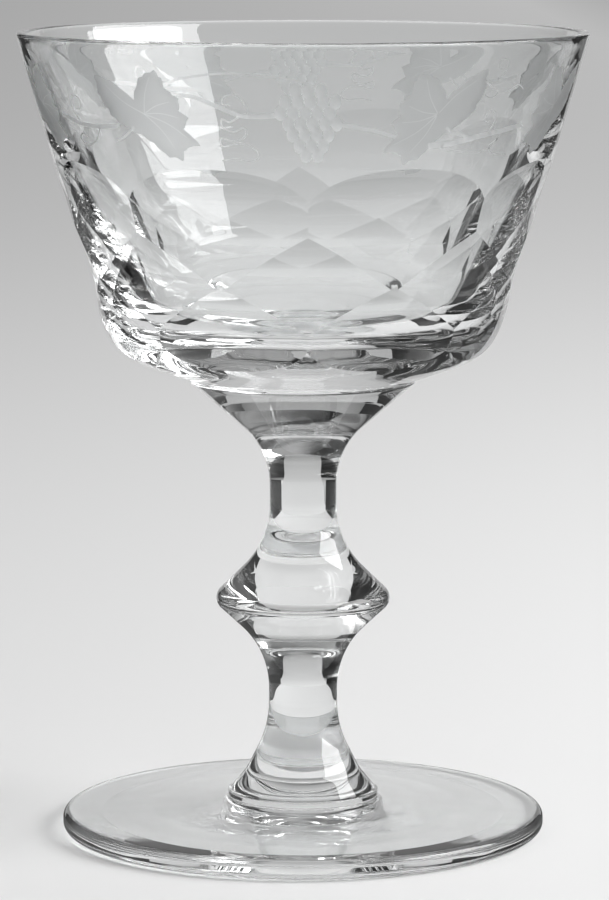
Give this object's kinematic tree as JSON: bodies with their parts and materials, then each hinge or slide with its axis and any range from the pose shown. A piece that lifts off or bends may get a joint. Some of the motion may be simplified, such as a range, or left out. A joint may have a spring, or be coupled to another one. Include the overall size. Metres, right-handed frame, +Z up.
{
  "type": "sherbet glass",
  "caption": "Clear cut-crystal sherbet glass: flared conical bowl with faceted cuts round its lower half, solid knopped stem and round spread foot.",
  "frame": {"origin": "middle of the face that the foot rests on", "axes": "+Z up along the glass's axis of revolution, -Y towards the front rib of the cut bowl"},
  "size_m": [0.0874, 0.0874, 0.124],
  "materials": {
    "bowl_crystal": "polished clear lead crystal, wheel cut",
    "stem_crystal": "polished clear lead crystal",
    "foot_crystal": "polished clear lead crystal"
  },
  "bodies": {
    "root": {"bowl": "bowl_crystal", "stem": "stem_crystal", "foot": "foot_crystal"}
  },
  "joints": []
}
